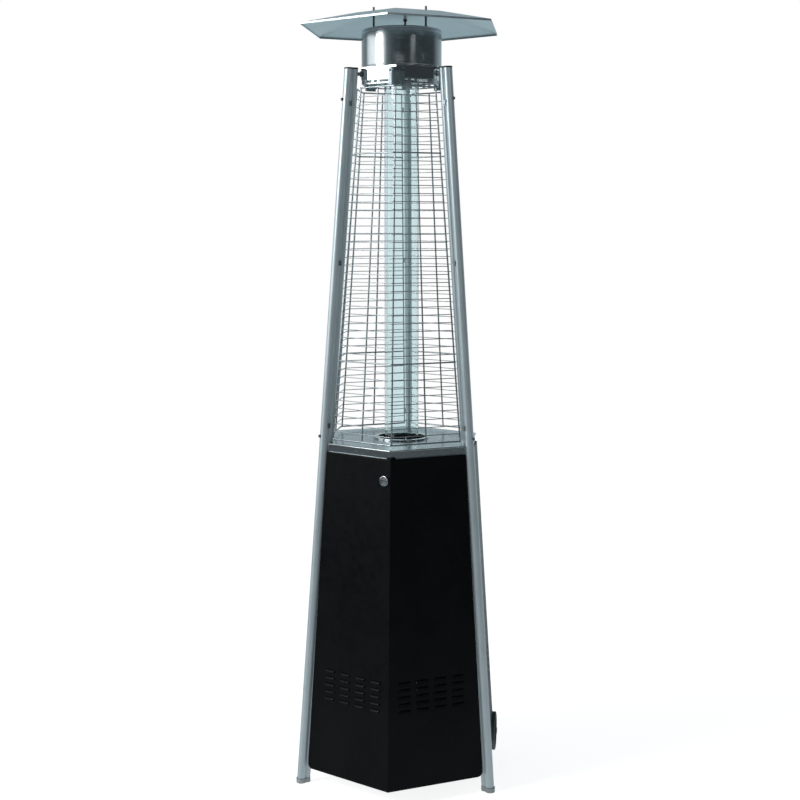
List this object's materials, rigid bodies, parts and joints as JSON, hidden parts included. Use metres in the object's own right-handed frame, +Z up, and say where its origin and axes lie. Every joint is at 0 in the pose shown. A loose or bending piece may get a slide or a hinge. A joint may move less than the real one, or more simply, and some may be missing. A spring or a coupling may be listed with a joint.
{
  "type": "outdoor gas heater",
  "caption": "Free-standing gas patio heater: tapered hexagonal cabinet on leaning poles, glass flame tube behind wire guards, and a hexagonal reflector on top.",
  "frame": {"origin": "bottom centre of the heater's overall box, on the floor", "axes": "+Z up, front ridge and door towards -Y, +X to the heater's left-to-right seen from the front"},
  "size_m": [0.592, 0.6564, 2.262],
  "materials": {
    "pole_metal": "satin anodised",
    "black_coat": "satin powder coat",
    "dark_coat": "matte",
    "stainless": "satin",
    "polished": "mirror polished",
    "wire": "bright",
    "galvanised": "galvanised",
    "fixing": "dark zinc",
    "glass": "clear borosilicate",
    "seal": "silicone",
    "black_plastic": "fine texture",
    "grey_plastic": "smooth",
    "ceramic": "glazed",
    "brass": "machined",
    "tyre": "matte"
  },
  "bodies": {
    "heater": {"base_tray": "dark_coat", "burner_box": "dark_coat", "burner_head": "stainless", "burner_pipe": "brass", "burner_ring": "polished", "burner_screen": "wire", "collar_brackets": "galvanised", "collar_ring": "polished", "collar_screws": "fixing", "collar_spacers": "galvanised", "control_plate": "stainless", "deck": "polished", "drum_base": "stainless", "drum_lid": "stainless", "electrode": "ceramic", "feet": "black_plastic", "flame_drum": "stainless", "gas_inlet": "brass", "gas_valve": "brass", "glass_tube": "glass", "guard_clips": "galvanised", "guard_front": "wire", "guard_left": "wire", "guard_right": "wire", "hinge_brackets": "galvanised", "hinge_pins": "fixing", "igniter_body": "black_plastic", "pilot_tube": "stainless", "pole_back": "pole_metal", "pole_caps": "black_plastic", "pole_left": "pole_metal", "pole_right": "pole_metal", "pole_screws": "fixing", "probe_clip": "galvanised", "reflector": "stainless", "reflector_nuts": "fixing", "reflector_studs": "fixing", "side_panel_left": "black_coat", "side_panel_right": "black_coat", "thermocouple": "brass", "tilt_switch": "black_plastic", "tray_brackets": "galvanised", "tube_plate": "stainless", "tube_seat": "dark_coat", "tube_top_ring": "seal", "upper_frame": "galvanised", "wheel_axles": "fixing", "wheel_brackets": "galvanised"},
    "door": {"front_door": "black_coat", "door_hinge": "dark_coat", "latch_ring": "polished"},
    "latch": {"latch_core": "grey_plastic", "latch_cam": "galvanised"},
    "stem": {"valve_stem": "fixing"},
    "knob": {"control_knob": "black_plastic"},
    "igniter": {"igniter_button": "grey_plastic"},
    "wheel_left": {"wheel_tyre_left": "tyre", "wheel_hub_left": "black_plastic"},
    "wheel_right": {"wheel_tyre_right": "tyre", "wheel_hub_right": "black_plastic"}
  },
  "joints": [
    {"name": "door_tilt", "type": "hinge", "parent": "heater", "child": "door", "pos_m": [0, -0.28125, 0.062], "axis": [1, 0, 0], "range_deg": [0, 30]},
    {"name": "latch_turn", "type": "hinge", "parent": "door", "child": "latch", "pos_m": [-0.01732, -0.2555, 0.934], "axis": [0.4991, 0.8644, -0.0612], "range_deg": [0, 90]},
    {"name": "knob_turn", "type": "hinge", "parent": "heater", "child": "stem", "pos_m": [0.13222, 0.16977, 0.89], "axis": [0.4991, 0.8644, 0.0612], "range_deg": [0, 180]},
    {"name": "knob_push", "type": "slide", "parent": "stem", "child": "knob", "axis": [-0.4991, -0.8644, -0.0612], "range_m": [0, 0.004], "stiffness_N_per_m": 800},
    {"name": "igniter_push", "type": "slide", "parent": "heater", "child": "igniter", "axis": [-0.4991, -0.8644, -0.0612], "range_m": [0, 0.005], "stiffness_N_per_m": 700},
    {"name": "wheel_left_spin", "type": "hinge", "parent": "heater", "child": "wheel_left", "pos_m": [-0.269, 0.14675, 0.064], "axis": [1, 0, 0], "continuous": true},
    {"name": "wheel_right_spin", "type": "hinge", "parent": "heater", "child": "wheel_right", "pos_m": [0.269, 0.14675, 0.064], "axis": [1, 0, 0], "continuous": true}
  ]
}
